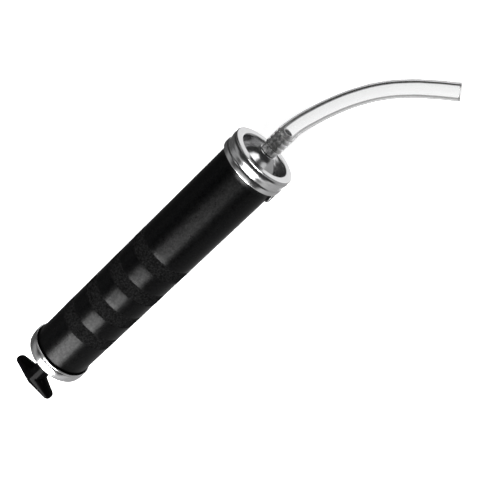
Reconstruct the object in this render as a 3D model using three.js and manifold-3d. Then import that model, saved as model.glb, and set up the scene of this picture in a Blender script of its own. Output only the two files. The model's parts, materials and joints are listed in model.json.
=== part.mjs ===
// Oil suction gun: a pump barrel with a T-handled plunger, a screw-on front cap with a
// barbed nozzle, and a short length of clear hose. Millimetres, +Z up.
// The gun lies on its front cap with its axis along X and the nozzle towards +X.
// Stations along the axis are counted from the front cap's open edge, + towards the nozzle.

import * as THREE from 'three';
import { mergeVertices } from 'three/addons/utils/BufferGeometryUtils.js';
import Module from 'manifold-3d';

const wasm = await Module();
wasm.setup();

// ---- driving dimensions ----
const OVERALL_LENGTH = 362; // back of the handle to the tip of the nozzle
const NOZZLE_TIP = 45; // station of the nozzle's tip
const CAP_EDGE_X = OVERALL_LENGTH / 2 - NOZZLE_TIP;
const FRONT_CAP_RADIUS = 31;
const AXIS_HEIGHT = FRONT_CAP_RADIUS; // the front cap's rim rests on the ground
const REAR_CAP_RADIUS = 30.5;
const CLEARANCE = 0.3; // between pieces that rest on each other
const ROUND_SEGMENTS = 36;
const SMALL_SEGMENTS = 20;

const BARREL_RADIUS = 28;
const BARREL_BORE_RADIUS = 27;
const BARREL_FRONT = 12.9;
const BARREL_BACK = -274.8;
const THREAD_BAND = { start: 1.5, end: 11, radius: 28.9 }; // rolled thread, as a plain band
const GRIP_RINGS = { count: 4, first: -217.2, pitch: 33.5, width: 15, depth: 0.25, ramp: 0.6 };

const SHEET_THICKNESS = 0.9; // both caps are pressed steel
const TONGUE = { start: 72, sweep: 66, reach: 15.5, tipRadius: 28.4, root: 3 }; // degrees from the top
const REAR_FACE = -277; // the back cap's flat end
const CAP_SEAT = { radius: 12, depth: 0.5, hole: 8.3 }; // sunk round the rod's guide
const GUIDE = { radius: 8, groove: 7.2, flange: 13, pocket: 7.4 };

const ROD_RADIUS = 4.75;
const ROD_THREAD_RADIUS = 4;
const BOLT_HOLE_RADIUS = ROD_THREAD_RADIUS + CLEARANCE;
const GUIDE_BORE_RADIUS = ROD_RADIUS + 0.35;

const NOZZLE_BORE_RADIUS = 3.2;
const NOZZLE_BACK = 13.4;
const BARBS = { start: 31.8, pitch: 4.7, count: 3, crest: 6.2, root: 5.2 };
const COLLAR = { back: 21.7, front: 27, radius: 7.3 };

const HANDLE = {
  middle: -307.5, // station of the bar's centre line at the hub
  sweep: 0.088, // how far the wings lean back, per millimetre of span
  halfSpan: 25.2,
  halfWidth: 9.4,
  widthTaper: 0.243,
  halfThickness: 8.5,
  thicknessTaper: 0.12,
  tipRounding: 5.5,
  squareness: 0.85, // of the wings' section: 1 is an ellipse and 0 a rectangle
  roll: -12.5, // degrees that the free-turning handle is turned at rest
};
const HUB = { front: -281.2, back: -307.5, radius: 8.4, threadStart: -296.2, pocketEnd: -312 };
const INSERT_RADIUS = 6.2;

// Washers, rings, plates and nuts: [back, front] stations.
const SPANS = {
  rodWiperRing: [-274.7, -272.7],
  bushRetainingRing: [-278.2, -277.1],
  frontCapGasket: [13.2, 15.4],
  nozzleWasher: [20.5, 21.5],
  nozzleLockWasher: [18.1, 19.1],
  nozzleNut: [14, 17.8],
  pistonRearNut: [-26.6, -20.1],
  pistonRearPlate: [-19.8, -17.8],
  pistonCore: [-14.7, -5.9],
  pistonFrontPlate: [-2.8, -0.8],
  pistonLockWasher: [-0.5, 0.9],
  pistonFrontNut: [1.2, 7.7],
  handleInsert: [-311.7, -296.5],
};
const CUP_BASES = { front: -5.6, rear: -15 };
const PLATE_RADIUS = 23.5;
const CORE_RADIUS = 25.4;
const NUT_FLATS = 13;
const NOZZLE_NUT_FLATS = 11.4;

const HOSE_RADIUS = 7.5;
const HOSE_BORE_RADIUS = 5.2;
const HOSE_SOCKET = { start: 20, radius: 6.55, end: 46.2 }; // where the hose is stretched over the nozzle
const HOSE_SIDES = 12;
const HOSE_STEPS = 22;
// The hose leaves straight along the axis, sinks to the ground and curves away on it.
const HOSE_ROUTE = [
  [163.3, 0, 31],
  [171, 0, 31],
  [179, 0, 31],
  [187, -0.5, 30.8],
  [196, -2.1, 29.7],
  [205, -4.5, 27.7],
  [214, -7.3, 24.9],
  [222.8, -10.6, 21.4],
  [231.3, -14.3, 17.9],
  [239.4, -18.5, 14.5],
  [247.4, -23.1, 11.6],
  [255.2, -28.3, 9.3],
  [262.8, -34, 8],
  [270, -40.1, 7.6],
  [277, -46.4, 7.6],
  [283.6, -53.2, 7.6],
  [290.2, -60.2, 7.6],
  [296.4, -67.3, 7.6],
  [300.6, -72, 7.6],
];

// ---- materials ----
const finish = (color, roughness, metalness) => ({ color, roughness, metalness });
const BLACK_COATING = finish(0x1c1c1d, 0.55, 0.2);
const PLATED_STEEL = finish(0xc8c9cb, 0.22, 1);
const ZINC = finish(0x9fa0a2, 0.4, 1);
const STEEL = finish(0x8d9094, 0.35, 1);
const BLACK_PLASTIC = finish(0x0d0d0e, 0.3, 0);
const WHITE_NYLON = finish(0xd9d7cf, 0.5, 0);
const BLACK_RUBBER = finish(0x161616, 0.8, 0);
const BRASS = finish(0xb8924a, 0.35, 1);
const CLEAR_VINYL = { ...finish(0xe8eef0, 0.1, 0), transparent: true, opacity: 0.35 };

const gun = new THREE.Group();
const axisGroup = new THREE.Group();
axisGroup.position.set(CAP_EDGE_X, 0, AXIS_HEIGHT);
gun.add(axisGroup);
const handleGroup = new THREE.Group();
handleGroup.rotation.x = THREE.MathUtils.degToRad(HANDLE.roll);
axisGroup.add(handleGroup);

function addPiece(group, name, geometry, look) {
  const mesh = new THREE.Mesh(geometry, new THREE.MeshStandardMaterial(look));
  mesh.name = name;
  group.add(mesh);
}

// ---- shape helpers ----

// A solid of revolution about X from a closed outline of [station, radius] points.
function turned(outline, segments = ROUND_SEGMENTS) {
  let area = 0;
  outline.forEach(([station, radius], i) => {
    const [nextStation, nextRadius] = outline[(i + 1) % outline.length];
    area += radius * nextStation - nextRadius * station;
  });
  const ordered = area > 0 ? outline : [...outline].reverse();
  const points = [...ordered, ordered[0]].map(([station, radius]) => new THREE.Vector2(radius, station));
  return new THREE.LatheGeometry(points, segments).rotateZ(-Math.PI / 2);
}

// A plain ring: a washer, spacer or bush without steps.
const ring = (back, front, bore, radius, segments) =>
  turned([[back, bore], [back, radius], [front, radius], [front, bore]], segments);

// The closed outline of bent sheet, from its outer face's points. The thickness is laid to
// the right of the way the points run, or to the left when it is negative.
function sheetOutline(outer, thickness) {
  const inner = outer.map((point, i) => {
    const before = outer[Math.max(i - 1, 0)];
    const after = outer[Math.min(i + 1, outer.length - 1)];
    const run = new THREE.Vector2(after[0] - before[0], after[1] - before[1]).normalize();
    return [point[0] + run.y * thickness, point[1] - run.x * thickness];
  });
  return [...outer, ...inner.reverse()];
}

function hexNut(back, front, bore, acrossFlats) {
  const shape = new THREE.Shape();
  const corner = acrossFlats / Math.sqrt(3);
  for (let i = 0; i < 6; i += 1) {
    const angle = (i * Math.PI) / 3;
    const move = i === 0 ? 'moveTo' : 'lineTo';
    shape[move](corner * Math.cos(angle), corner * Math.sin(angle));
  }
  shape.closePath();
  shape.holes.push(new THREE.Path().absarc(0, 0, bore, 0, 2 * Math.PI, true));
  const options = { depth: front - back, bevelEnabled: false, curveSegments: 8 };
  return new THREE.ExtrudeGeometry(shape, options).rotateY(Math.PI / 2).translate(back, 0, 0);
}

function toSolid(geometry) {
  const bare = geometry.clone();
  bare.deleteAttribute('normal');
  bare.deleteAttribute('uv');
  const merged = mergeVertices(bare, 1e-4);
  const vertProperties = new Float32Array(merged.attributes.position.array);
  const triVerts = new Uint32Array(merged.index.array);
  return new wasm.Manifold(new wasm.Mesh({ numProp: 3, vertProperties, triVerts }));
}

function toGeometry(solid) {
  const mesh = solid.getMesh();
  const geometry = new THREE.BufferGeometry();
  geometry.setAttribute('position', new THREE.BufferAttribute(mesh.vertProperties, 3));
  geometry.setIndex(new THREE.BufferAttribute(mesh.triVerts, 1));
  geometry.computeVertexNormals();
  return geometry;
}

// ---- barrel and rear end ----

function barrelTube() {
  const outline = [[BARREL_BACK, BARREL_BORE_RADIUS], [BARREL_BACK, BARREL_RADIUS]];
  for (let i = 0; i < GRIP_RINGS.count; i += 1) {
    const centre = GRIP_RINGS.first + i * GRIP_RINGS.pitch;
    const half = GRIP_RINGS.width / 2;
    outline.push([centre - half, BARREL_RADIUS]);
    outline.push([centre - half + GRIP_RINGS.ramp, BARREL_RADIUS - GRIP_RINGS.depth]);
    outline.push([centre + half - GRIP_RINGS.ramp, BARREL_RADIUS - GRIP_RINGS.depth]);
    outline.push([centre + half, BARREL_RADIUS]);
  }
  outline.push([THREAD_BAND.start - 1, BARREL_RADIUS], [THREAD_BAND.start, THREAD_BAND.radius]);
  outline.push([THREAD_BAND.end, THREAD_BAND.radius], [THREAD_BAND.end + 1, BARREL_RADIUS]);
  outline.push([BARREL_FRONT, BARREL_RADIUS], [BARREL_FRONT, BARREL_BORE_RADIUS]);
  return turned(outline);
}

// Open lip, two shallow beads and a flat end with a sunk seat round the guide's hole.
function rearCap() {
  const outer = [
    [-263.7, REAR_CAP_RADIUS - 0.3],
    [-264.6, REAR_CAP_RADIUS],
    [-266.4, REAR_CAP_RADIUS - 0.1],
    [-269.6, REAR_CAP_RADIUS - 0.8],
    [-273.4, REAR_CAP_RADIUS - 0.7],
    [-275.6, REAR_CAP_RADIUS - 1.1],
    [REAR_FACE, REAR_CAP_RADIUS - 3],
    [REAR_FACE, CAP_SEAT.radius],
    [REAR_FACE + CAP_SEAT.depth, CAP_SEAT.radius - 1],
    [REAR_FACE + CAP_SEAT.depth, CAP_SEAT.hole],
  ];
  return turned(sheetOutline(outer, -SHEET_THICKNESS));
}

// A flanged nylon bush, put in from inside, grooved for its retaining ring.
function rodGuideBush() {
  const [ringBack, ringFront] = SPANS.bushRetainingRing;
  const [wiperBack, wiperFront] = SPANS.rodWiperRing;
  const flangeBack = REAR_FACE + CAP_SEAT.depth + SHEET_THICKNESS + CLEARANCE;
  return turned([
    [ringBack - 1.7, GUIDE_BORE_RADIUS],
    [ringBack - 1.7, GUIDE.radius],
    [ringBack - CLEARANCE, GUIDE.radius],
    [ringBack - CLEARANCE, GUIDE.groove],
    [ringFront + CLEARANCE, GUIDE.groove],
    [ringFront + CLEARANCE, GUIDE.radius],
    [flangeBack, GUIDE.radius],
    [flangeBack, GUIDE.flange],
    [wiperFront + CLEARANCE, GUIDE.flange],
    [wiperFront + CLEARANCE, GUIDE.pocket],
    [wiperBack - CLEARANCE, GUIDE.pocket],
    [wiperBack - CLEARANCE, GUIDE_BORE_RADIUS],
  ], SMALL_SEGMENTS);
}

// ---- front end ----

// Skirt with two bands, a flat rim, a deep channel and a domed centre with a boss.
function frontCapShell() {
  const outer = [
    [0, FRONT_CAP_RADIUS],
    [4.3, FRONT_CAP_RADIUS],
    [5.4, FRONT_CAP_RADIUS - 0.8],
    [7.5, FRONT_CAP_RADIUS - 0.7],
    [10.5, FRONT_CAP_RADIUS - 0.1],
    [13.2, FRONT_CAP_RADIUS],
    [15, FRONT_CAP_RADIUS - 0.9],
    [16.2, FRONT_CAP_RADIUS - 0.9],
    [16.9, FRONT_CAP_RADIUS - 1.6],
    [16.9, 25.6],
    [16, 24.9],
    [14.8, 24.4],
    [9, 24.2],
    [7.2, 23],
    [7.2, 20.9],
    [9.6, 18.6],
    [12.8, 14.6],
    [15.6, 10.6],
    [18.8, 8.6],
    [20.3, 7.4],
    [20.3, BOLT_HOLE_RADIUS],
  ];
  return turned(sheetOutline(outer, SHEET_THICKNESS));
}

// A rounded tongue that runs back from one side of the skirt and leans in to the barrel.
// Its inner face stays clear of the barrel's thread when the cap is screwed off.
function capTongue() {
  const full = turned([
    [-TONGUE.reach, TONGUE.tipRadius],
    [-TONGUE.reach, TONGUE.tipRadius + 0.6],
    [-12, FRONT_CAP_RADIUS - 0.9],
    [-8, FRONT_CAP_RADIUS],
    [TONGUE.root, FRONT_CAP_RADIUS],
    [TONGUE.root, FRONT_CAP_RADIUS - 1.2],
    [-7, FRONT_CAP_RADIUS - 1.2],
    [-12, FRONT_CAP_RADIUS - 1.9],
    [-14.5, TONGUE.tipRadius],
  ]);
  const outline = new THREE.Shape();
  const width = THREE.MathUtils.degToRad(TONGUE.sweep) * BARREL_RADIUS;
  outline.moveTo(-width / 2, TONGUE.root);
  outline.bezierCurveTo(-width / 3, -4, -width / 4, -TONGUE.reach, 0, -TONGUE.reach);
  outline.bezierCurveTo(width / 4, -TONGUE.reach, width / 3, -4, width / 2, TONGUE.root);
  outline.closePath();
  const options = { depth: 2 * BARREL_RADIUS, bevelEnabled: false, curveSegments: 10 };
  const cutter = new THREE.ExtrudeGeometry(outline, options);
  cutter.rotateZ(-Math.PI / 2);
  cutter.rotateX(THREE.MathUtils.degToRad(TONGUE.start + TONGUE.sweep / 2));
  return toSolid(full).intersect(toSolid(cutter));
}

function nozzle() {
  const outline = [
    [NOZZLE_BACK, NOZZLE_BORE_RADIUS],
    [NOZZLE_BACK, ROD_THREAD_RADIUS],
    [COLLAR.back, ROD_THREAD_RADIUS],
    [COLLAR.back, COLLAR.radius - 0.4],
    [COLLAR.back + 0.4, COLLAR.radius],
    [COLLAR.front - 0.4, COLLAR.radius],
    [COLLAR.front, COLLAR.radius - 0.4],
    [COLLAR.front, BARBS.root],
  ];
  for (let i = 0; i < BARBS.count; i += 1) {
    const station = BARBS.start + i * BARBS.pitch;
    outline.push([station - 0.5, BARBS.root], [station, BARBS.crest]);
  }
  outline.push([NOZZLE_TIP - 0.5, 4.9], [NOZZLE_TIP, 4.5], [NOZZLE_TIP, NOZZLE_BORE_RADIUS]);
  return turned(outline, SMALL_SEGMENTS);
}

function hose() {
  const section = new THREE.Shape().absarc(0, 0, HOSE_RADIUS, 0, 2 * Math.PI, false);
  section.holes.push(new THREE.Path().absarc(0, 0, HOSE_BORE_RADIUS, 0, 2 * Math.PI, true));
  const route = new THREE.CatmullRomCurve3(HOSE_ROUTE.map((point) => new THREE.Vector3(...point)));
  const tube = new THREE.ExtrudeGeometry(section, {
    steps: HOSE_STEPS,
    curveSegments: HOSE_SIDES / 2,
    bevelEnabled: false,
    extrudePath: route,
  });
  const { start, radius, end } = HOSE_SOCKET;
  const socket = turned([[start, 0], [start, radius], [end, radius], [end + 2, 0]], SMALL_SEGMENTS);
  socket.translate(CAP_EDGE_X, 0, AXIS_HEIGHT);
  return toGeometry(toSolid(tube).subtract(toSolid(socket)));
}

// ---- plunger ----

function plungerRod() {
  return turned([
    [-311, 0],
    [-311, ROD_THREAD_RADIUS],
    [HUB.threadStart + CLEARANCE, ROD_THREAD_RADIUS],
    [HUB.threadStart + CLEARANCE, ROD_RADIUS],
    [-27.5, ROD_RADIUS],
    [-27, ROD_THREAD_RADIUS],
    [9, ROD_THREAD_RADIUS],
    [9.6, ROD_THREAD_RADIUS - 0.6],
    [9.6, 0],
  ], SMALL_SEGMENTS);
}

// A leather-style cup: a flat base clamped between plates and a lip along the bore.
function cupSeal(base, direction) {
  const at = (offset, radius) => [base + direction * offset, radius];
  return turned([
    at(0, BOLT_HOLE_RADIUS),
    at(0, 26),
    at(0.7, BARREL_BORE_RADIUS - CLEARANCE),
    at(10.1, BARREL_BORE_RADIUS - CLEARANCE),
    at(10.1, 25.9),
    at(3.6, 24.4),
    at(2.5, 23.9),
    at(2.5, BOLT_HOLE_RADIUS),
  ]);
}

// The bar's section at a distance along the span: [station, half width, half thickness].
function barSection(span) {
  const reach = Math.abs(span);
  const roundStart = HANDLE.halfSpan - HANDLE.tipRounding;
  const over = Math.max(reach - roundStart, 0) / HANDLE.tipRounding;
  const rounding = Math.sqrt(1 - 0.85 * over * over);
  return [
    HANDLE.middle - HANDLE.sweep * reach,
    (HANDLE.halfWidth - HANDLE.widthTaper * reach) * rounding,
    (HANDLE.halfThickness - HANDLE.thicknessTaper * reach) * rounding,
  ];
}

function tHandle() {
  const bar = new THREE.CylinderGeometry(1, 1, 2, 20, 12);
  const place = bar.attributes.position;
  const softened = (value) => Math.sign(value) * Math.abs(value) ** HANDLE.squareness;
  for (let i = 0; i < place.count; i += 1) {
    const span = HANDLE.halfSpan * Math.sin((place.getY(i) * Math.PI) / 2);
    const [station, halfWidth, halfThickness] = barSection(span);
    const across = softened(place.getX(i)) * halfWidth;
    const through = softened(place.getZ(i)) * halfThickness;
    place.setXYZ(i, station + across, span, through);
  }
  const hub = turned([
    [HUB.back, 0],
    [HUB.back, HUB.radius],
    [HUB.front - 0.8, HUB.radius],
    [HUB.front, HUB.radius - 0.8],
    [HUB.front, 0],
  ], SMALL_SEGMENTS);
  const bore = turned([
    [HUB.pocketEnd, 0],
    [HUB.pocketEnd, INSERT_RADIUS + CLEARANCE],
    [HUB.threadStart, INSERT_RADIUS + CLEARANCE],
    [HUB.threadStart, GUIDE_BORE_RADIUS],
    [HUB.front + 1, GUIDE_BORE_RADIUS],
    [HUB.front + 1, 0],
  ], SMALL_SEGMENTS);
  return toGeometry(toSolid(bar).add(toSolid(hub)).subtract(toSolid(bore)));
}

// ---- assembly ----

const washer = ([back, front], bore, radius) => ring(back, front, bore, radius, SMALL_SEGMENTS);
const nut = ([back, front], acrossFlats) => hexNut(back, front, BOLT_HOLE_RADIUS, acrossFlats);
const plate = ([back, front], radius) => ring(back, front, BOLT_HOLE_RADIUS, radius);

addPiece(axisGroup, 'barrel_tube', barrelTube(), BLACK_COATING);
addPiece(axisGroup, 'rear_cap', rearCap(), PLATED_STEEL);
addPiece(axisGroup, 'rod_guide_bush', rodGuideBush(), WHITE_NYLON);
addPiece(axisGroup, 'rod_wiper_ring', washer(SPANS.rodWiperRing, ROD_RADIUS + 0.25, 7.1), BLACK_RUBBER);
addPiece(axisGroup, 'bush_retaining_ring', washer(SPANS.bushRetainingRing, 7.5, 10), STEEL);

addPiece(axisGroup, 'front_cap', toGeometry(toSolid(frontCapShell()).add(capTongue())), PLATED_STEEL);
addPiece(axisGroup, 'front_cap_gasket', ring(...SPANS.frontCapGasket, 26.2, 27.9), BLACK_RUBBER);
addPiece(axisGroup, 'nozzle', nozzle(), ZINC);
addPiece(axisGroup, 'nozzle_washer', washer(SPANS.nozzleWasher, BOLT_HOLE_RADIUS, 7.9), BLACK_RUBBER);
addPiece(axisGroup, 'nozzle_lock_washer', washer(SPANS.nozzleLockWasher, BOLT_HOLE_RADIUS, 6.4), STEEL);
addPiece(axisGroup, 'nozzle_nut', nut(SPANS.nozzleNut, NOZZLE_NUT_FLATS), STEEL);
addPiece(gun, 'hose', hose(), CLEAR_VINYL);

addPiece(axisGroup, 'plunger_rod', plungerRod(), PLATED_STEEL);
addPiece(axisGroup, 'front_cup_seal', cupSeal(CUP_BASES.front, 1), BLACK_RUBBER);
addPiece(axisGroup, 'rear_cup_seal', cupSeal(CUP_BASES.rear, -1), BLACK_RUBBER);
addPiece(axisGroup, 'piston_core', plate(SPANS.pistonCore, CORE_RADIUS), ZINC);
addPiece(axisGroup, 'piston_front_plate', plate(SPANS.pistonFrontPlate, PLATE_RADIUS), STEEL);
addPiece(axisGroup, 'piston_rear_plate', plate(SPANS.pistonRearPlate, PLATE_RADIUS), STEEL);
addPiece(axisGroup, 'piston_lock_washer', washer(SPANS.pistonLockWasher, BOLT_HOLE_RADIUS, 7.6), STEEL);
addPiece(axisGroup, 'piston_front_nut', nut(SPANS.pistonFrontNut, NUT_FLATS), STEEL);
addPiece(axisGroup, 'piston_rear_nut', nut(SPANS.pistonRearNut, NUT_FLATS), STEEL);
addPiece(handleGroup, 't_handle', tHandle(), BLACK_PLASTIC);
addPiece(handleGroup, 'handle_insert', washer(SPANS.handleInsert, BOLT_HOLE_RADIUS, INSERT_RADIUS), BRASS);

export default gun;
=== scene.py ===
"""Looks of the oil suction gun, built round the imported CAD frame. Metres, +Z up, nozzle to +X.

Outlines are in millimetres: a station along the gun's axis, counted from the front cap's open
edge towards the nozzle, and a radius from the axis.
"""
import json
import math

import bpy
import numpy as np
from mathutils import Matrix, Vector


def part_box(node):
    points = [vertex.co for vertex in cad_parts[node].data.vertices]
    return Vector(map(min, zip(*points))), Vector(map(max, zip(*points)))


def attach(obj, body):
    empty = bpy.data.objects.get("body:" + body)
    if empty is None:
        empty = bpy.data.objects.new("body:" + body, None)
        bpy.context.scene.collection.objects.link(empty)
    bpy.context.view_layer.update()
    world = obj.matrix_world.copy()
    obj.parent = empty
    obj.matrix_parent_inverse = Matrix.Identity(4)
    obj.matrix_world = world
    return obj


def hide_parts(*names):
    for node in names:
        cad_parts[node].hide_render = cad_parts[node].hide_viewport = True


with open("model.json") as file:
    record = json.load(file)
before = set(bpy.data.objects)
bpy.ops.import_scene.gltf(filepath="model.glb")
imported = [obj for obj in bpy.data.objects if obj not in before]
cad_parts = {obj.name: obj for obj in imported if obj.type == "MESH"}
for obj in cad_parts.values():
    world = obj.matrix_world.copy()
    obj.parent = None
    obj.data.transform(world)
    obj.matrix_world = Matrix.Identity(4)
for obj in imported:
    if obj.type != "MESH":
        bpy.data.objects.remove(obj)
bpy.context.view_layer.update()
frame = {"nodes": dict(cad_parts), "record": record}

# ---------------------------------------------------------------- sizes from the frame
MM = 0.001
NOZZLE_TIP = 45.0
nozzle_low, nozzle_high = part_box("nozzle")
AXIS_Z = (nozzle_low.z + nozzle_high.z) / 2
EDGE_X = nozzle_high.x - NOZZLE_TIP * MM
CAP_RADIUS = (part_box("front_cap")[1].z - AXIS_Z) / MM
REAR_RADIUS = (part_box("rear_cap")[1].z - AXIS_Z) / MM
BARREL_BACK = (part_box("barrel_tube")[0].x - EDGE_X) / MM
BARREL_FRONT = (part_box("barrel_tube")[1].x - EDGE_X) / MM
BARREL_RADIUS = 28.0
BORE_RADIUS = 27.0
SHEET = 0.9
HANDLE_ROLL = math.radians(-12.5)

# ---------------------------------------------------------------- camera
CAMERA_OFFSET = Vector((0.3628, 0.0, 0.8786))  # from the axis under the front cap's edge
CAMERA_RIGHT = Vector((0.6621, -0.6934, -0.2844))
CAMERA_BACK = Vector((0.4283, 0.0387, 0.9027))
CAMERA_LENS = 85.26
SENSOR_WIDTH = 36


def make_camera():
    data = bpy.data.cameras.new("camera")
    data.sensor_width = SENSOR_WIDTH
    data.lens = CAMERA_LENS
    data.clip_start = 0.01
    data.clip_end = 40
    camera = bpy.data.objects.new("camera", data)
    back = CAMERA_BACK.normalized()
    right = (CAMERA_RIGHT - CAMERA_RIGHT.dot(back) * back).normalized()
    up = back.cross(right)
    turn = Matrix((right, up, back)).transposed().to_4x4()
    place = Vector((EDGE_X, 0, AXIS_Z)) + CAMERA_OFFSET
    camera.matrix_world = Matrix.Translation(place) @ turn
    bpy.context.scene.collection.objects.link(camera)
    bpy.context.scene.camera = camera


make_camera()


# ---------------------------------------------------------------- node material helpers
def new_material(name):
    material = bpy.data.materials.new(name)
    material.use_nodes = True
    nodes = material.node_tree.nodes
    nodes.clear()
    shader = nodes.new("ShaderNodeBsdfPrincipled")
    out = nodes.new("ShaderNodeOutputMaterial")
    material.node_tree.links.new(shader.outputs[0], out.inputs["Surface"])
    return material, shader


def link(material, source, target):
    material.node_tree.links.new(source, target)


def add_node(material, kind, **inputs):
    node = material.node_tree.nodes.new(kind)
    for key, value in inputs.items():
        node.inputs[key.replace("_", " ")].default_value = value
    return node


def object_place(material):
    return material.node_tree.nodes.new("ShaderNodeTexCoord").outputs["Object"]


def noise(material, scale, detail=3.0, rough=0.55, vector=None):
    node = add_node(material, "ShaderNodeTexNoise", Scale=scale, Detail=detail, Roughness=rough)
    link(material, vector or object_place(material), node.inputs["Vector"])
    return node.outputs[0]


def spread(material, value, low, high, from_low=0.3, from_high=0.7):
    """Maps a noise value to a range."""
    node = add_node(material, "ShaderNodeMapRange", From_Min=from_low, From_Max=from_high)
    node.inputs["To Min"].default_value = low
    node.inputs["To Max"].default_value = high
    link(material, value, node.inputs["Value"])
    return node.outputs[0]


def combine(tree, operation, first, second):
    node = tree.nodes.new("ShaderNodeMath")
    node.operation = operation
    for value, target in ((first, node.inputs[0]), (second, node.inputs[1])):
        if isinstance(value, (int, float)):
            target.default_value = value
        else:
            tree.links.new(value, target)
    return node.outputs[0]


def blend_colours(material, value, dark, light, start=0.35, end=0.65):
    ramp = material.node_tree.nodes.new("ShaderNodeValToRGB")
    ramp.color_ramp.elements[0].position = start
    ramp.color_ramp.elements[1].position = end
    ramp.color_ramp.elements[0].color = (*dark, 1)
    ramp.color_ramp.elements[1].color = (*light, 1)
    link(material, value, ramp.inputs[0])
    return ramp.outputs[0]


def bump(material, shader, height, strength, distance):
    node = add_node(material, "ShaderNodeBump", Strength=strength, Distance=distance)
    link(material, height, node.inputs["Height"])
    link(material, node.outputs[0], shader.inputs["Normal"])


def round_place(material, along, around):
    """(station, radius, angle) round the gun's axis, scaled: marks that run round turned metal."""
    tree = material.node_tree
    split = tree.nodes.new("ShaderNodeSeparateXYZ")
    link(material, object_place(material), split.inputs[0])
    height = combine(tree, "SUBTRACT", split.outputs["Z"], AXIS_Z)
    flat = tree.nodes.new("ShaderNodeCombineXYZ")
    link(material, split.outputs["Y"], flat.inputs["X"])
    link(material, height, flat.inputs["Y"])
    length = tree.nodes.new("ShaderNodeVectorMath")
    length.operation = "LENGTH"
    link(material, flat.outputs[0], length.inputs[0])
    angle = combine(tree, "ARCTAN2", height, split.outputs["Y"])
    joined = tree.nodes.new("ShaderNodeCombineXYZ")
    for source, target, scale in (
        (split.outputs["X"], "X", along),
        (length.outputs["Value"], "Y", along),
        (angle, "Z", around),
    ):
        link(material, combine(tree, "MULTIPLY", source, scale), joined.inputs[target])
    return joined.outputs[0]


# ---------------------------------------------------------------- materials
def black_coating():
    """Fine-textured satin powder coat."""
    material, shader = new_material("black_coating")
    grain = noise(material, 620, 3, 0.7)
    link(material, blend_colours(material, grain, (0.0003, 0.0003, 0.0004), (0.0011, 0.0011, 0.0012)),
         shader.inputs["Base Color"])
    link(material, blend_colours(material, grain, (0.45, 0.45, 0.45), (1, 1, 1)),
         shader.inputs["Specular Tint"])
    link(material, spread(material, noise(material, 240, 2), 0.27, 0.35), shader.inputs["Roughness"])
    shader.inputs["Specular IOR Level"].default_value = 0.13
    bump(material, shader, noise(material, 760, 3, 0.6), 0.35, 0.0001)
    return material


def knurled_coating():
    """The same coat where the knurl has worn it a little rougher and greyer."""
    material, shader = new_material("knurled_coating")
    mottle = noise(material, 720, 3, 0.7)
    worn = blend_colours(material, mottle, (0.0005, 0.0005, 0.0005), (0.013, 0.013, 0.0133), 0.42, 0.66)
    link(material, worn, shader.inputs["Base Color"])
    link(material, spread(material, noise(material, 1200, 3), 0.7, 0.9), shader.inputs["Roughness"])
    shader.inputs["Specular IOR Level"].default_value = 0.03
    bump(material, shader, noise(material, 1050, 4, 0.7), 0.5, 0.00018)
    return material


def plated_steel(name="plated_steel", low=0.17, high=0.25, tint=0.78):
    """Semi-polished plating with faint marks from spinning."""
    material, shader = new_material(name)
    shader.inputs["Metallic"].default_value = 1
    place = round_place(material, 2600, 1.2)
    marks = noise(material, 1.0, 3, 0.6, place)
    cloud = noise(material, 90, 3)
    link(material, blend_colours(material, cloud, (tint - 0.05,) * 3, (tint, tint, tint + 0.01)),
         shader.inputs["Base Color"])
    link(material, spread(material, cloud, low, high), shader.inputs["Roughness"])
    bump(material, shader, marks, 0.02, 0.00003)
    return material


def turned_metal(name, colour, low, high, strength=0.25):
    material, shader = new_material(name)
    shader.inputs["Metallic"].default_value = 1
    marks = noise(material, 1.0, 3, 0.6, round_place(material, 3800, 2.0))
    grain = noise(material, 1300, 3)
    darker = tuple(value * 0.8 for value in colour)
    link(material, blend_colours(material, grain, darker, colour), shader.inputs["Base Color"])
    link(material, spread(material, grain, low, high), shader.inputs["Roughness"])
    bump(material, shader, marks, strength, 0.00006)
    return material


def moulded_plastic(name, colour, low, high, grain_scale=700, strength=0.12, gloss=0.3):
    material, shader = new_material(name)
    cloud = noise(material, 120, 3)
    lighter = tuple(value * 1.25 + 0.001 for value in colour)
    link(material, blend_colours(material, cloud, colour, lighter), shader.inputs["Base Color"])
    link(material, spread(material, cloud, low, high), shader.inputs["Roughness"])
    shader.inputs["Specular IOR Level"].default_value = gloss
    bump(material, shader, noise(material, grain_scale, 3), strength, 0.00008)
    return material


def clear_vinyl():
    """Flexible clear tube. Its tint carries painted shade: it darkens to near black where the tube is
    seen edge on, standing in for the dark lines that refraction draws along its walls.
    """
    material, shader = new_material("clear_vinyl")
    shader.inputs["Transmission Weight"].default_value = 1
    shader.inputs["IOR"].default_value = 1.5
    edge = add_node(material, "ShaderNodeLayerWeight", Blend=0.5)
    split = material.node_tree.nodes.new("ShaderNodeSeparateXYZ")
    link(material, object_place(material), split.inputs[0])
    tip_x = EDGE_X + NOZZLE_TIP * MM
    clear_of_tip = tip_x + 8 * MM  # the edges aren't darkened over the nozzle
    past_nozzle = spread(material, split.outputs["X"], 0, 1, tip_x, clear_of_tip)
    # painted shade: the tint turns near black as the surface turns edge on, from just past the nozzle's
    # tip
    painted_edge_shade = combine(material.node_tree, "MULTIPLY", edge.outputs["Facing"], past_nozzle)
    link(material, blend_colours(material, painted_edge_shade, (0.998, 1.0, 1.0), (0.08, 0.08, 0.085), 0.45, 0.78),
         shader.inputs["Base Color"])
    link(material, spread(material, noise(material, 60, 2), 0.0, 0.006), shader.inputs["Roughness"])
    bump(material, shader, noise(material, 110, 2), 0.006, 0.0002)
    return material


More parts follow.
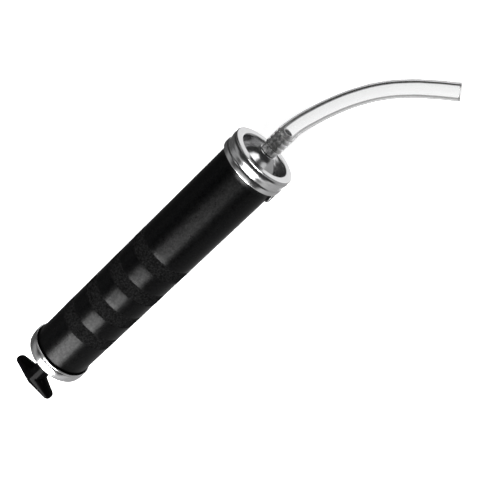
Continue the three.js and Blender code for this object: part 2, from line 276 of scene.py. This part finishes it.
COATING = black_coating()
KNURLED = knurled_coating()
PLATED = plated_steel()
ROD_STEEL = plated_steel("polished_rod", 0.1, 0.18, 0.62)
ZINC = turned_metal("zinc", (0.98, 0.98, 0.98), 0.28, 0.4, 0.1)
# the caps' plating again, made darker (tint 0.5) as painted shade that dims the tongue's highlights, and
# rougher
PAINTED_SHADE_TONGUE_STEEL = plated_steel("painted_shade_tongue_steel", 0.28, 0.4, 0.5)
STEEL = turned_metal("steel", (0.42, 0.42, 0.44), 0.3, 0.45)
BRASS = turned_metal("brass", (0.62, 0.42, 0.16), 0.28, 0.4)
BLACK_PLASTIC = moulded_plastic("black_plastic", (0.001, 0.001, 0.0011), 0.16, 0.22, gloss=0.02)
NYLON = moulded_plastic("nylon", (0.62, 0.6, 0.53), 0.45, 0.6)
RUBBER = moulded_plastic("rubber", (0.012, 0.012, 0.012), 0.6, 0.8, 1500, 0.3)
VINYL = clear_vinyl()
SLOT_MATERIALS = {
    "black_coating": COATING,
    "plated_steel": PLATED,
    "zinc": ZINC,
    "steel": STEEL,
    "black_plastic": BLACK_PLASTIC,
    "nylon": NYLON,
    "rubber": RUBBER,
    "brass": BRASS,
    "clear_vinyl": VINYL,
}


# ---------------------------------------------------------------- mesh helpers
def make_piece(name, vertices, faces, materials, sharp_degrees=40.0):
    mesh = bpy.data.meshes.new(name)
    mesh.from_pydata([tuple(v) for v in vertices], [], faces)
    mesh.validate()
    for material in materials:
        mesh.materials.append(material)
    mesh.shade_smooth()
    mesh.set_sharp_from_angle(angle=math.radians(sharp_degrees))
    piece = bpy.data.objects.new(name, mesh)
    bpy.context.scene.collection.objects.link(piece)
    return piece


def settle(piece, body, slot, *nodes):
    """Puts a finished piece on its body and hides what it stands for."""
    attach(piece, body)
    if nodes:
        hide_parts(*nodes)


def axis_point(station, radius, angle):
    """A point of the gun: the angle is 0 at the top and grows towards -Y."""
    return (
        EDGE_X + station * MM,
        -radius * MM * math.sin(angle),
        AXIS_Z + radius * MM * math.cos(angle),
    )


def rounded(outline, radius, steps=4):
    """Rounds a closed outline's corners with small arcs."""
    points = [np.array(p, float) for p in outline]
    count = len(points)
    result = []
    for i, corner in enumerate(points):
        before = points[i - 1] - corner
        after = points[(i + 1) % count] - corner
        longest = 0.45  # of a side, so that two arcs never meet
        reach = min(radius, np.linalg.norm(before) * longest, np.linalg.norm(after) * longest)
        start = corner + before / np.linalg.norm(before) * reach
        end = corner + after / np.linalg.norm(after) * reach
        for k in range(steps + 1):
            t = k / steps
            result.append(tuple((1 - t) ** 2 * start + 2 * t * (1 - t) * corner + t * t * end))
    return result


def sheet_outline(outer, thickness):
    """The closed outline of bent sheet laid to the right of its outer face's points."""
    outer = [np.array(p, float) for p in outer]
    inner = []
    for i, point in enumerate(outer):
        run = outer[min(i + 1, len(outer) - 1)] - outer[max(i - 1, 0)]
        run = run / np.linalg.norm(run)
        inner.append(point + np.array((run[1], -run[0])) * thickness)
    return [tuple(p) for p in outer] + [tuple(p) for p in reversed(inner)]


def turned(name, outline, materials, segments=160, sharp_degrees=40.0):
    """A solid of revolution about the gun's axis from a closed outline."""
    area = sum(a[0] * b[1] - b[0] * a[1] for a, b in zip(outline, outline[1:] + outline[:1]))
    ordered = outline if area < 0 else outline[::-1]
    on_axis = [abs(p[1]) < 1e-6 for p in ordered]
    vertices, rows = [], []
    for (station, radius), axial in zip(ordered, on_axis):
        if axial:
            vertices.append(axis_point(station, 0, 0))
            rows.append([len(vertices) - 1] * segments)
        else:
            start = len(vertices)
            vertices += [
                axis_point(station, radius, 2 * math.pi * k / segments) for k in range(segments)
            ]
            rows.append(list(range(start, start + segments)))
    faces = []
    count = len(ordered)
    for i in range(count):
        j = (i + 1) % count
        if on_axis[i] and on_axis[j]:
            continue
        for k in range(segments):
            m = (k + 1) % segments
            face = [rows[i][k], rows[i][m], rows[j][m], rows[j][k]]
            faces.append(tuple(dict.fromkeys(face)))
    return make_piece(name, vertices, faces, materials, sharp_degrees)


def plain_ring(name, node, body, slot, bore, radius, corner=0.25):
    """A fine, round-edged ring in the place of a plain CAD ring."""
    low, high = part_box(node)
    back, front = (low.x - EDGE_X) / MM, (high.x - EDGE_X) / MM
    outline = rounded([(back, bore), (back, radius), (front, radius), (front, bore)], corner)
    ring = turned(name, outline, [SLOT_MATERIALS[slot]], 96)
    settle(ring, body, slot, node)


# ---------------------------------------------------------------- hose
HOSE_RADIUS = 7.5 * MM
HOSE_BORE = 5.3 * MM
STRETCHED_RADIUS = 8.15 * MM  # over the barbs, whose crests press into the bore
STRETCHED_BORE = 5.6 * MM
RELAXING_LENGTH = 7
CUT_EDGE = 0.3 * MM  # how far the cut end's edges are rounded off
HOSE_ROUTE = [
    (0.1633, 0, 0.031),
    (0.171, 0, 0.031),
    (0.179, 0, 0.031),
    (0.187, -0.0005, 0.0308),
    (0.196, -0.0021, 0.0297),
    (0.205, -0.0045, 0.0277),
    (0.214, -0.0073, 0.0249),
    (0.2228, -0.0106, 0.0214),
    (0.2313, -0.0143, 0.0179),
    (0.2394, -0.0185, 0.0145),
    (0.2474, -0.0231, 0.0116),
    (0.2552, -0.0283, 0.0093),
    (0.2628, -0.034, 0.008),
    (0.27, -0.0401, 0.0076),
    (0.277, -0.0464, 0.0076),
    (0.2836, -0.0532, 0.0076),
    (0.2902, -0.0602, 0.0076),
    (0.2964, -0.0673, 0.0076),
    (0.3006, -0.072, 0.0076),
]
BARB_CRESTS = [27.8, 31.8, 36.5, 41.2]  # stations
BARB_CREST_RADIUS = 6.35
BARB_ROOT_RADIUS = 5.15


def smooth_route(points, per_span=10):
    """A Catmull-Rom curve through the points."""
    p = [Vector(points[0]) * 2 - Vector(points[1])] + [Vector(q) for q in points]
    p.append(Vector(points[-1]) * 2 - Vector(points[-2]))
    curve = []
    for i in range(1, len(p) - 2):
        for k in range(per_span):
            t = k / per_span
            a, b, c, d = p[i - 1], p[i], p[i + 1], p[i + 2]
            curve.append(
                0.5 * (2 * b + (c - a) * t + (2 * a - 5 * b + 4 * c - d) * t * t
                       + (3 * b - a - 3 * c + d) * t ** 3)
            )
    curve.append(Vector(points[-1]))
    return curve


def ease(value):
    value = min(max(value, 0.0), 1.0)
    return value * value * (3 - 2 * value)


def hose_radii(station):
    """(outer, inner) radius: stretched over the barbs, relaxed beyond the nozzle's tip."""
    past = ease((station - NOZZLE_TIP + 1.5) / RELAXING_LENGTH)
    outer = (1 - past) * STRETCHED_RADIUS + past * HOSE_RADIUS
    inner = (1 - past) * STRETCHED_BORE + past * HOSE_BORE
    return outer, inner


def tube_faces(outer_rings, inner_rings):
    """The wall's outside and inside, and the narrow ring that joins them at each cut end."""
    sides = len(outer_rings[0])
    faces = []
    for k in range(sides):
        m = (k + 1) % sides
        for i in range(len(outer_rings) - 1):
            here, there = outer_rings[i], outer_rings[i + 1]
            faces.append((here[k], here[m], there[m], there[k]))
            here, there = inner_rings[i], inner_rings[i + 1]
            faces.append((here[m], here[k], there[k], there[m]))
        faces.append((outer_rings[0][m], outer_rings[0][k], inner_rings[0][k], inner_rings[0][m]))
        faces.append((outer_rings[-1][k], outer_rings[-1][m], inner_rings[-1][m], inner_rings[-1][k]))
    return faces


def make_hose():
    """The clear tube along its route, open at both ends."""
    curve = smooth_route(HOSE_ROUTE)
    sides = 72
    tangents = [(curve[min(i + 1, len(curve) - 1)] - curve[max(i - 1, 0)]).normalized()
                for i in range(len(curve))]
    side = Vector((0, 0, 1)).cross(tangents[0]).normalized()
    travelled = 0.0
    outer_rings, inner_rings, vertices = [], [], []
    last = len(curve) - 1
    for i, (centre, tangent) in enumerate(zip(curve, tangents)):
        if i:
            travelled += (centre - curve[i - 1]).length
        trim = CUT_EDGE if i == last else 0
        side = (side - side.dot(tangent) * tangent).normalized()
        other = tangent.cross(side)
        station = (curve[0].x - EDGE_X + travelled) / MM
        outer, inner = hose_radii(station)
        for radius, rings in ((outer - trim, outer_rings), (inner + trim, inner_rings)):
            start = len(vertices)
            for k in range(sides):
                angle = 2 * math.pi * k / sides
                vertices.append(centre + radius * (math.cos(angle) * side + math.sin(angle) * other))
            rings.append(list(range(start, start + sides)))
    tube = make_piece("clear_hose", vertices, tube_faces(outer_rings, inner_rings), [VINYL])
    settle(tube, "front_cap", "clear_vinyl", "hose")


make_hose()


# ---------------------------------------------------------------- barrel
GRIP_FIRST = -217.2
GRIP_PITCH = 33.5
GRIP_COUNT = 4
GRIP_WIDTH = 15.0
KNURL_AROUND = 112
KNURL_DEPTH = 0.34
KNURL_SUNK = 0.22  # how far the grooves lie below the barrel's plain surface
KNURL_LEAN = 0.62
KNURL_FADE = 0.9
THREAD_RADIUS = 28.9  # of the rolled band under the front cap


def triangle_wave(value):
    return abs(2 * (value - math.floor(value + 0.5)))


def knurl_height(station, angle, centre):
    """(fade, height): the fade is 0 at the ring's edges, and the height is 1 on the crests."""
    lean = station * KNURL_LEAN * KNURL_AROUND / (2 * math.pi * BARREL_RADIUS)
    turns = angle * KNURL_AROUND / (2 * math.pi)
    edge = ease((GRIP_WIDTH / 2 - abs(station - centre)) / KNURL_FADE)
    return edge, min(triangle_wave(turns + lean), triangle_wave(turns - lean))


def barrel_rows():
    """(station, radius, centre of the knurled ring that it is in, or None) along the outline."""
    plain_step, ring_steps = 6, 40
    rows = [(BARREL_BACK, BORE_RADIUS, None), (BARREL_BACK, BARREL_RADIUS - 0.2, None),
            (BARREL_BACK + 0.3, BARREL_RADIUS, None)]
    last = BARREL_BACK + 0.3
    for i in range(GRIP_COUNT):
        centre = GRIP_FIRST + i * GRIP_PITCH
        start = centre - GRIP_WIDTH / 2
        gap = int((start - last) / plain_step)
        rows += [(last + (start - last) * (k + 1) / (gap + 1), BARREL_RADIUS, None) for k in range(gap)]
        rows += [(start + GRIP_WIDTH * k / ring_steps, BARREL_RADIUS, centre)
                 for k in range(ring_steps + 1)]
        last = centre + GRIP_WIDTH / 2
    gap = int(-last / plain_step)
    rows += [(last - last * (k + 1) / (gap + 1), BARREL_RADIUS, None) for k in range(gap)]
    return rows + [
        (0.5, BARREL_RADIUS, None), (1.5, THREAD_RADIUS, None), (11, THREAD_RADIUS, None),
        (12, BARREL_RADIUS, None), (BARREL_FRONT - 0.3, BARREL_RADIUS, None),
        (BARREL_FRONT, BARREL_RADIUS - 0.3, None), (BARREL_FRONT, BORE_RADIUS, None),
    ]


def make_barrel():
    segments = 448
    rows = barrel_rows()
    vertices, faces, knurled = [], [], []
    for station, radius, centre in rows:
        for k in range(segments):
            angle = 2 * math.pi * k / segments
            here = radius
            if centre is not None:
                edge, height = knurl_height(station, angle, centre)
                here = radius + edge * (height * KNURL_DEPTH - KNURL_SUNK)
            vertices.append(axis_point(station, here, angle))
    count = len(rows)
    for i in range(count):
        j = (i + 1) % count
        inside_ring = rows[i][2] is not None and rows[i][2] == rows[j][2]
        for k in range(segments):
            m = (k + 1) % segments
            faces.append((i * segments + k, j * segments + k, j * segments + m, i * segments + m))
            knurled.append(1 if inside_ring else 0)
    barrel = make_piece("barrel_shell", vertices, faces, [COATING, KNURLED], 50)
    barrel.data.polygons.foreach_set("material_index", knurled)
    barrel.data.update()
    settle(barrel, "barrel", "black_coating", "barrel_tube")


make_barrel()


# ---------------------------------------------------------------- front cap
def make_front_cap():
    """Skirt with two bands, a flat rim, a deep channel, then the dome and the nozzle's boss."""
    outer = [
        (0.0, CAP_RADIUS - 0.3), (0.3, CAP_RADIUS - 0.05), (0.7, CAP_RADIUS),
        (2.2, CAP_RADIUS), (4.0, CAP_RADIUS - 0.02), (4.5, CAP_RADIUS - 0.2),
        (4.9, CAP_RADIUS - 0.75), (5.4, CAP_RADIUS - 0.95), (6.0, CAP_RADIUS - 0.8),
        (7.5, CAP_RADIUS - 0.7), (9.1, CAP_RADIUS - 0.55), (9.6, CAP_RADIUS - 0.5),
        (10.4, CAP_RADIUS - 0.12), (11.8, CAP_RADIUS), (12.8, CAP_RADIUS - 0.1),
        (13.6, CAP_RADIUS - 0.4), (14.1, CAP_RADIUS - 0.85), (14.5, CAP_RADIUS - 1.0),
        (14.9, CAP_RADIUS - 0.7), (15.4, CAP_RADIUS - 0.2), (15.8, CAP_RADIUS - 0.1),
        (16.2, CAP_RADIUS - 0.3), (16.45, CAP_RADIUS - 0.8), (16.55, CAP_RADIUS - 1.6),
        (16.6, 27.0), (16.55, 25.2), (16.4, 24.3), (16.0, 23.7), (15.2, 23.3),
        (13.8, 23.1), (12.0, 23.0), (9.6, 22.9),
        (8.3, 22.6), (7.5, 22.0), (7.2, 21.3), (7.4, 20.6), (8.2, 19.7), (9.5, 18.5),
        (11.0, 16.7), (12.6, 14.6), (14.0, 12.6), (15.4, 10.9), (16.8, 9.7), (18.2, 8.9),
        (19.3, 8.55), (19.9, 8.35), (20.25, 7.9), (20.3, 7.2), (20.3, 5.5), (20.3, 4.3),
    ]
    shell = turned("front_cap_shell", sheet_outline(outer, SHEET), [PLATED], 224, 50)
    settle(shell, "front_cap", "plated_steel", "front_cap")


TONGUE_MIDDLE = math.radians(105)
TONGUE_HALF_SWEEP = math.radians(26.66)
TONGUE_REACH = 15.3
TONGUE_ROOT = 2.6  # station, under the skirt
TONGUE_TIP_RADIUS = 29.2
TONGUE_LIFT = 1.65  # how much further out the tongue lies at its root
UNDER_SKIRT_RADIUS = 29.5
TONGUE_SHEET = 0.9
TONGUE_EDGE_SHEET = 0.15


def tongue_point(u, v, inside):
    """u is -1 to 1 across the tongue; v is 0 at the skirt and 1 at its tip."""
    narrow = 0.12 + 0.88 * math.sqrt(max(1 - (v * 0.98) ** 3.2, 0.0))
    flare = 1 + 0.25 * (1 - v) ** 3
    angle = TONGUE_MIDDLE + u * TONGUE_HALF_SWEEP * narrow * flare
    station = TONGUE_ROOT - v * (TONGUE_ROOT + TONGUE_REACH * (1 - 0.1 * u * u))
    lift = ease((1 - v) / 0.3) * (1 - 0.6 * u ** 6)
    radius = TONGUE_TIP_RADIUS + TONGUE_LIFT * lift
    if inside:
        thinned = (1 - u ** 6) * min((1 - v) / 0.1, 1)
        sheet = TONGUE_EDGE_SHEET + (TONGUE_SHEET - TONGUE_EDGE_SHEET) * thinned
        radius = UNDER_SKIRT_RADIUS if station > -1 else radius - sheet
    return axis_point(station, radius, angle)


def make_cap_tongue():
    """The rounded tongue that runs back from the skirt's far side, close along the barrel."""
    across, down = 40, 28
    vertices, faces = [], []
    for inside in (False, True):
        for j in range(down + 1):
            for i in range(across + 1):
                vertices.append(tongue_point(2 * i / across - 1, j / down, inside))
    row, back = across + 1, (across + 1) * (down + 1)
    for j in range(down):
        for i in range(across):
            a = j * row + i
            faces.append((a, a + 1, a + row + 1, a + row))
            faces.append((back + a, back + a + row, back + a + row + 1, back + a + 1))
    edge = [(j * row, (j + 1) * row) for j in range(down)]
    edge += [(down * row + i, down * row + i + 1) for i in range(across)]
    edge += [((j + 1) * row + across, j * row + across) for j in reversed(range(down))]
    edge += [(i + 1, i) for i in reversed(range(across))]
    faces += [(a, b, b + back, a + back) for a, b in edge]
    # its steel is the darker copy of the caps' plating: painted shade
    tongue = make_piece("cap_tongue", vertices, faces, [PAINTED_SHADE_TONGUE_STEEL], 60)
    settle(tongue, "front_cap", "plated_steel")


make_front_cap()
make_cap_tongue()


def make_nozzle():
    """Hose tail: shank, undercut collar, four barbs and a tapered tip, with its seal behind."""
    outline = [(13.4, 3.2), (13.4, 3.9), (21.7, 3.9), (21.7, 6.7), (20.9, 6.75), (20.8, 7.1), (21.0, 7.3),
               (26.6, 7.3), (26.95, 7.0), (26.95, 6.2), (27.6, 6.2)]
    for i, crest in enumerate(BARB_CRESTS):
        outline += [(crest, BARB_CREST_RADIUS), (crest + 0.35, BARB_CREST_RADIUS - 0.05)]
        if i + 1 < len(BARB_CRESTS):
            outline += [(BARB_CRESTS[i + 1] - 0.45, BARB_ROOT_RADIUS)]
    outline += [(NOZZLE_TIP - 0.3, 4.9), (NOZZLE_TIP, 4.7), (NOZZLE_TIP, 4.1), (NOZZLE_TIP - 1.6, 3.2)]
    fitting = turned("hose_nozzle", rounded(outline, 0.12, steps=2), [ZINC], 128, 35)
    settle(fitting, "front_cap", "zinc", "nozzle")
    plain_ring("nozzle_seal", "nozzle_washer", "front_cap", "rubber", 4.3, 6.6)


make_nozzle()


# ---------------------------------------------------------------- rear cap and rod guide
def make_rear_cap():
    """Rolled lip, two beads, a rounded corner and a flat end with the guide's sunk seat."""
    outer = [
        (-263.7, REAR_RADIUS - 0.75), (-263.75, REAR_RADIUS - 0.4), (-264.0, REAR_RADIUS - 0.1),
        (-264.5, REAR_RADIUS), (-265.0, REAR_RADIUS - 0.15), (-265.3, REAR_RADIUS - 0.6),
        (-265.6, REAR_RADIUS - 0.75), (-265.9, REAR_RADIUS - 0.65), (-266.2, REAR_RADIUS - 0.45),
        (-266.8, REAR_RADIUS - 0.25), (-268.2, REAR_RADIUS - 0.12), (-270.0, REAR_RADIUS - 0.12),
        (-271.8, REAR_RADIUS - 0.28), (-272.5, REAR_RADIUS - 0.5), (-272.9, REAR_RADIUS - 0.68),
        (-273.3, REAR_RADIUS - 0.62), (-274.2, REAR_RADIUS - 0.75), (-275.2, REAR_RADIUS - 1.15),
        (-276.1, REAR_RADIUS - 1.9), (-276.7, REAR_RADIUS - 2.9), (-276.95, REAR_RADIUS - 3.9),
        (-277.0, REAR_RADIUS - 4.8),
        (-277.0, 20.0), (-277.0, 12.3), (-276.92, 11.9), (-276.58, 11.2), (-276.5, 10.8), (-276.5, 8.3),
    ]
    inner = [
        (-275.6, 8.3), (-275.6, 11.4), (-276.0, 12.6), (-276.1, 20.0), (-276.0, REAR_RADIUS - 4.8),
        (-275.2, REAR_RADIUS - 2.6), (-274.0, REAR_RADIUS - 1.75), (-268.0, REAR_RADIUS - 1.45),
        (-265.0, REAR_RADIUS - 1.45), (-264.0, REAR_RADIUS - 1.4), (-263.75, REAR_RADIUS - 1.1),
    ]
    shell = turned("rear_cap_shell", outer + inner, [PLATED], 224, 60)
    settle(shell, "barrel", "plated_steel", "rear_cap")


def make_guide_bush():
    """The nylon rod guide in the rear cap, with its retaining ring and its wiper ring."""
    outline = [(-279.9, 5.1), (-279.9, 8.0), (-278.5, 8.0), (-278.5, 7.2), (-276.8, 7.2), (-276.8, 8.0),
               (-275.3, 8.0), (-275.3, 13.0), (-272.4, 13.0), (-272.4, 7.4), (-275.0, 7.4), (-275.0, 5.1)]
    bush = turned("guide_bush", rounded(outline, 0.25, steps=3), [NYLON], 96, 40)
    settle(bush, "barrel", "nylon", "rod_guide_bush")
    plain_ring("snap_ring", "bush_retaining_ring", "barrel", "steel", 7.5, 10.0)
    plain_ring("wiper_ring", "rod_wiper_ring", "barrel", "rubber", 5.0, 7.1, 0.5)


make_rear_cap()
make_guide_bush()


# ---------------------------------------------------------------- plunger
def thread(start, end, crest, pitch=1.0, depth=0.35):
    """Fine thread grooves between two stations, as rings."""
    count = int(abs(end - start) / pitch)
    step = (end - start) / count
    points = []
    for i in range(count):
        points += [(start + step * (i + 0.15), crest), (start + step * (i + 0.6), crest - depth)]
    return points


ROD_RADIUS = 4.75
ROD_THREAD_RADIUS = 4.0


def make_rod():
    """The rod with a thread at each end, for the handle's insert and for the piston."""
    outline = [(-311.0, 0), (-311.0, 3.6)]
    outline += thread(-310.4, -296.4, ROD_THREAD_RADIUS)
    outline += [(-295.9, ROD_THREAD_RADIUS), (-295.9, 4.55), (-295.7, ROD_RADIUS)]
    outline += [(-295 + i * 38.2, ROD_RADIUS) for i in range(8)]
    outline += [(-27.4, ROD_RADIUS), (-27.2, 4.5), (-27.0, ROD_THREAD_RADIUS)]
    outline += thread(-26.8, 9.2, ROD_THREAD_RADIUS)
    outline += [(9.6, 3.4), (9.6, 0)]
    rod = turned("polished_rod", outline, [ROD_STEEL], 96, 35)
    settle(rod, "plunger", "plated_steel", "plunger_rod")


HANDLE_MIDDLE = -307.5
HANDLE_SWEEP = 0.088
HANDLE_HALF_SPAN = 25.2
HANDLE_HALF_WIDTH, WIDTH_TAPER = 9.3, 0.243
HANDLE_HALF_THICKNESS, THICKNESS_TAPER = 8.4, 0.12
TIP_ROUNDING = 4.5
HUB_FRONT, HUB_RADIUS = -281.2, 8.4


def bar_section(span):
    """(station, half width, half thickness) of the grip at a distance along its span."""
    reach = abs(span)
    over = max(reach - (HANDLE_HALF_SPAN - TIP_ROUNDING), 0) / TIP_ROUNDING
    tip = (1 - 0.93 * over ** 3) ** 0.45
    return (
        HANDLE_MIDDLE - HANDLE_SWEEP * reach,
        (HANDLE_HALF_WIDTH - WIDTH_TAPER * reach) * tip,
        (HANDLE_HALF_THICKNESS - THICKNESS_TAPER * reach) * tip,
    )


def soften(value, power=0.85):
    """Makes a circle's sine or cosine that of a slightly squarer section."""
    return math.copysign(abs(value) ** power, value)


def handle_point(station, span, through):
    """A point of the handle, turned with its roll about the gun's axis."""
    c, s = math.cos(HANDLE_ROLL), math.sin(HANDLE_ROLL)
    return (
        EDGE_X + station * MM,
        (span * c - through * s) * MM,
        AXIS_Z + (span * s + through * c) * MM,
    )


def closed_loft(rings):
    """Vertices and faces of a loft whose two ends are closed by flat faces."""
    count = len(rings[0])
    vertices = [p for ring in rings for p in ring]
    faces = []
    for i in range(len(rings) - 1):
        for k in range(count):
            m = (k + 1) % count
            faces.append((i * count + k, (i + 1) * count + k, (i + 1) * count + m, i * count + m))
    faces.append(tuple(range(count)))
    faces.append(tuple(reversed(range((len(rings) - 1) * count, len(rings) * count))))
    return vertices, faces


def bar_rings(sides, stations=60):
    rings = []
    for j in range(stations + 1):
        span = HANDLE_HALF_SPAN * math.sin(math.pi * (j / stations - 0.5))
        station, width, thickness = bar_section(span)
        ring = []
        for k in range(sides):
            angle = 2 * math.pi * k / sides
            across, through = soften(math.cos(angle)) * width, soften(math.sin(angle)) * thickness
            ring.append(handle_point(station + across, span, through))
        rings.append(ring)
    return rings


def hub_rings(sides):
    profile = [(HANDLE_MIDDLE, HUB_RADIUS), (-300, HUB_RADIUS), (HUB_FRONT - 1.2, HUB_RADIUS),
               (HUB_FRONT - 0.35, HUB_RADIUS - 0.3), (HUB_FRONT, HUB_RADIUS - 1.1)]
    angles = [2 * math.pi * k / sides for k in range(sides)]
    return [[handle_point(station, radius * math.cos(a), radius * math.sin(a)) for a in angles]
            for station, radius in profile]


def make_handle():
    """Grip and hub joined by a remesh, which leaves the moulded fillet between them."""
    sides = 48
    vertices, faces = closed_loft(bar_rings(sides))
    hub_vertices, hub_faces = closed_loft(hub_rings(sides))
    offset = len(vertices)
    faces += [tuple(i + offset for i in face) for face in hub_faces]
    handle = make_piece("t_grip", vertices + hub_vertices, faces, [BLACK_PLASTIC])
    remesh = handle.modifiers.new("remesh", "REMESH")
    remesh.mode = "VOXEL"
    remesh.voxel_size = 0.45 * MM
    smooth = handle.modifiers.new("smooth", "SMOOTH")
    smooth.factor = 0.5
    smooth.iterations = 9
    graph = bpy.context.evaluated_depsgraph_get()
    mesh = bpy.data.meshes.new_from_object(handle.evaluated_get(graph))
    handle.modifiers.clear()
    handle.data = mesh
    mesh.materials.clear()
    mesh.materials.append(BLACK_PLASTIC)
    mesh.shade_smooth()
    settle(handle, "plunger", "black_plastic", "t_handle")


make_rod()
make_handle()

# ---------------------------------------------------------------- the CAD nodes that stay
for entry in frame["record"]["subparts"]:
    node = frame["nodes"][entry["node"]]
    if not node.hide_render:
        node.data.materials.clear()
        node.data.materials.append(SLOT_MATERIALS[entry["material_slot"]])


# ---------------------------------------------------------------- floor and light
def make_floor():
    """A white table that glows nearly white by itself, so that hardly a shadow shows on it.

    It is left out of reflections and of what the clear hose shows: they see the studio instead.
    """
    mesh = bpy.data.meshes.new("floor")
    reach = 18.0  # half its width: a smaller table's edge shows from a low angle
    own_glow = 0.9
    corners = [(-reach, -reach, 0), (reach, -reach, 0), (reach, reach, 0), (-reach, reach, 0)]
    mesh.from_pydata(corners, [], [(0, 1, 2, 3)])
    floor = bpy.data.objects.new("floor", mesh)
    bpy.context.scene.collection.objects.link(floor)
    material, shader = new_material("white_floor")
    link(material, blend_colours(material, noise(material, 3, 2), (0.9, 0.9, 0.9), (0.93, 0.93, 0.93)),
         shader.inputs["Base Color"])
    shader.inputs["Roughness"].default_value = 0.9
    shader.inputs["Specular IOR Level"].default_value = 0.1
    shader.inputs["Emission Color"].default_value = (1, 1, 1, 1)
    shader.inputs["Emission Strength"].default_value = own_glow
    mesh.materials.append(material)
    floor.visible_glossy = False
    floor.visible_transmission = False


def soft_light(name, toward, distance, size, strength):
    """A softbox seen from the gun's middle in one direction. Strength is its brightness."""
    middle = Vector((0, 0, AXIS_Z))
    data = bpy.data.lights.new(name, "AREA")
    data.shape = "RECTANGLE"
    data.size, data.size_y = size
    data.energy = strength * size[0] * size[1] * math.pi
    light = bpy.data.objects.new(name, data)
    light.location = middle + Vector(toward).normalized() * distance
    light.rotation_mode = "QUATERNION"
    light.rotation_quaternion = (-Vector(toward)).to_track_quat("-Z", "Y")
    bpy.context.scene.collection.objects.link(light)


def direction_ramp(tree, axis, start, end):
    """0 to 1 as the direction's X, Y or Z goes from start to end."""
    split = tree.nodes.new("ShaderNodeSeparateXYZ")
    place = tree.nodes.new("ShaderNodeTexCoord")
    tree.links.new(place.outputs["Generated"], split.inputs[0])
    node = tree.nodes.new("ShaderNodeMapRange")
    node.interpolation_type = "SMOOTHSTEP"
    node.inputs["From Min"].default_value = start
    node.inputs["From Max"].default_value = end
    tree.links.new(split.outputs[axis], node.inputs["Value"])
    return node.outputs[0]


def combine_all(tree, operation, values):
    result = values[0]
    for value in values[1:]:
        result = combine(tree, operation, result, value)
    return result


def product(tree, *values):
    return combine_all(tree, "MULTIPLY", values)


def total(tree, *values):
    return combine_all(tree, "ADD", values)


def patch(tree, brightness, **limits):
    """A soft-edged bright patch between (low, high) limits of the direction's X, Y and Z."""
    softness = 0.07
    edges = []
    for axis, (low, high) in limits.items():
        edges.append(direction_ramp(tree, axis, low - softness, low + softness))
        edges.append(direction_ramp(tree, axis, high + softness, high - softness))
    return product(tree, brightness, *edges)


def table_glow(tree, near_side):
    """The white table straight below, and the faint light round its edge."""
    table = product(
        tree,
        direction_ramp(tree, "Z", -0.35, -0.75),
        direction_ramp(tree, "Y", 0.38, 0.16),
        direction_ramp(tree, "Y", -0.5, -0.25),
        direction_ramp(tree, "X", -0.62, -0.42),
        0.84,
    )
    far_edge = product(tree, direction_ramp(tree, "X", 0.2, -0.1), 0.06)
    near_edge = product(tree, near_side, 0.32)
    table_edge = product(
        tree, direction_ramp(tree, "Z", 0.1, -0.2), total(tree, far_edge, near_edge)
    )
    return table, table_edge


def wall_glow(tree, near_side, far_side):
    return product(
        tree,
        direction_ramp(tree, "X", 0.25, -0.15),
        direction_ramp(tree, "Z", 0.58, 0.32),
        direction_ramp(tree, "Z", -0.2, 0.15),
        total(tree, 0.32, product(tree, near_side, 0.2), product(tree, far_side, -0.04)),
    )


def make_studio():
    """Mid-grey walls behind the gun, dark ones in front, and a white table straight below."""
    world = bpy.data.worlds.new("studio")
    world.use_nodes = True
    tree = world.node_tree
    near_side = direction_ramp(tree, "Y", 0.3, -0.7)
    far_side = direction_ramp(tree, "Y", 0.2, 0.7)
    glow = total(
        tree,
        0.03,
        *table_glow(tree, near_side),
        wall_glow(tree, near_side, far_side),
        patch(tree, 0.3, X=(-0.7, -0.1), Y=(-0.42, 0.42), Z=(0.62, 1.2)),  # ceiling
        patch(tree, 1.5, X=(0.7, 1.2), Y=(0.14, 0.62), Z=(-0.28, 0.4)),  # card on the left
        patch(tree, 0.6, X=(0.6, 1.2), Y=(-0.62, -0.25), Z=(-0.15, 0.2)),  # card on the right
    )
    background = tree.nodes["Background"]
    tree.links.new(glow, background.inputs["Strength"])
    background.inputs["Color"].default_value = (1, 1, 1, 1)
    bpy.context.scene.world = world


def make_light():
    soft_light("overhead_softbox", (-0.71, -0.07, 0.7), 1.3, (0.95, 0.62), 24)
    make_studio()
    bpy.context.scene.view_settings.view_transform = "Standard"


make_floor()
make_light()
